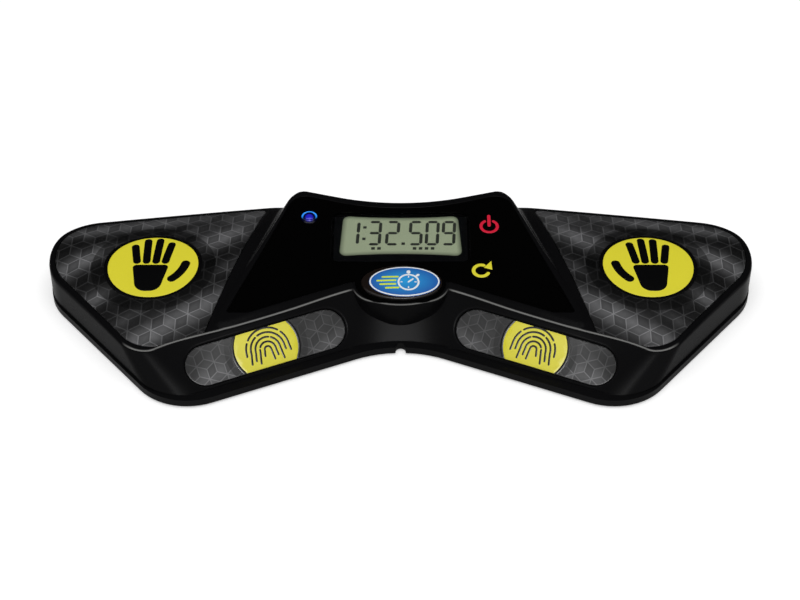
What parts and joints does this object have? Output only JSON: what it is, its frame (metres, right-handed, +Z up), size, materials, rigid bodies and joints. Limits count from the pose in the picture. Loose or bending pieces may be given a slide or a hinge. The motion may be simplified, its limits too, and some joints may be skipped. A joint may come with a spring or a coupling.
{
  "type": "speed cube timer",
  "caption": "Two-winged desk timer with a raised display console, palm pads on arched wings, finger pads in the sloping front and touch keys.",
  "frame": {"origin": "middle of the footprint, on the surface that the timer stands on", "axes": "+X to the right along the wings, +Y to the back, +Z up"},
  "size_m": [0.2814, 0.104, 0.025],
  "materials": {
    "housing": "moulded, polished black",
    "base": "moulded, satin black",
    "panel": "polished black",
    "window": "clear",
    "display": "grey-green, dark segments",
    "strip": "conductive elastomer",
    "lens": "clear blue",
    "diode": "clear",
    "badge_base": "dark brown-black",
    "badge_face": "printed blue with a pale rim",
    "foam": "conductive foam",
    "pad": "printed film, block pattern with a yellow spot",
    "sensor": "copper-clad laminate",
    "ribbon": "amber film",
    "board": "green laminate",
    "chip": "moulded",
    "jack": "moulded",
    "cell": "labelled can",
    "contact": "nickel plated",
    "door": "moulded, satin black",
    "screw": "zinc plated",
    "foot": "matte black"
  },
  "bodies": {
    "case": {"upper_housing": "housing", "base_shell": "base", "console_panel": "panel", "display_window": "window", "lcd_module": "display", "lcd_connectors": "strip", "led_lens": "lens", "indicator_led": "diode", "badge_base": "badge_base", "badge_face": "badge_face", "key_electrodes": "foam", "left_palm_pad": "pad", "right_palm_pad": "pad", "left_palm_sensor": "sensor", "right_palm_sensor": "sensor", "left_finger_pad": "pad", "right_finger_pad": "pad", "left_finger_sensor": "sensor", "right_finger_sensor": "sensor", "left_sensor_ribbon": "ribbon", "right_sensor_ribbon": "ribbon", "main_board": "board", "processor": "chip", "data_jack": "jack", "batteries": "cell", "battery_contacts": "contact", "battery_springs": "contact", "case_screws": "screw", "board_screws": "screw", "rubber_feet": "foot"},
    "door": {"battery_door": "door"}
  },
  "joints": [
    {"name": "door_lift", "type": "slide", "parent": "case", "child": "door", "axis": [0, 0, -1], "range_m": [0, 0.03]}
  ]
}
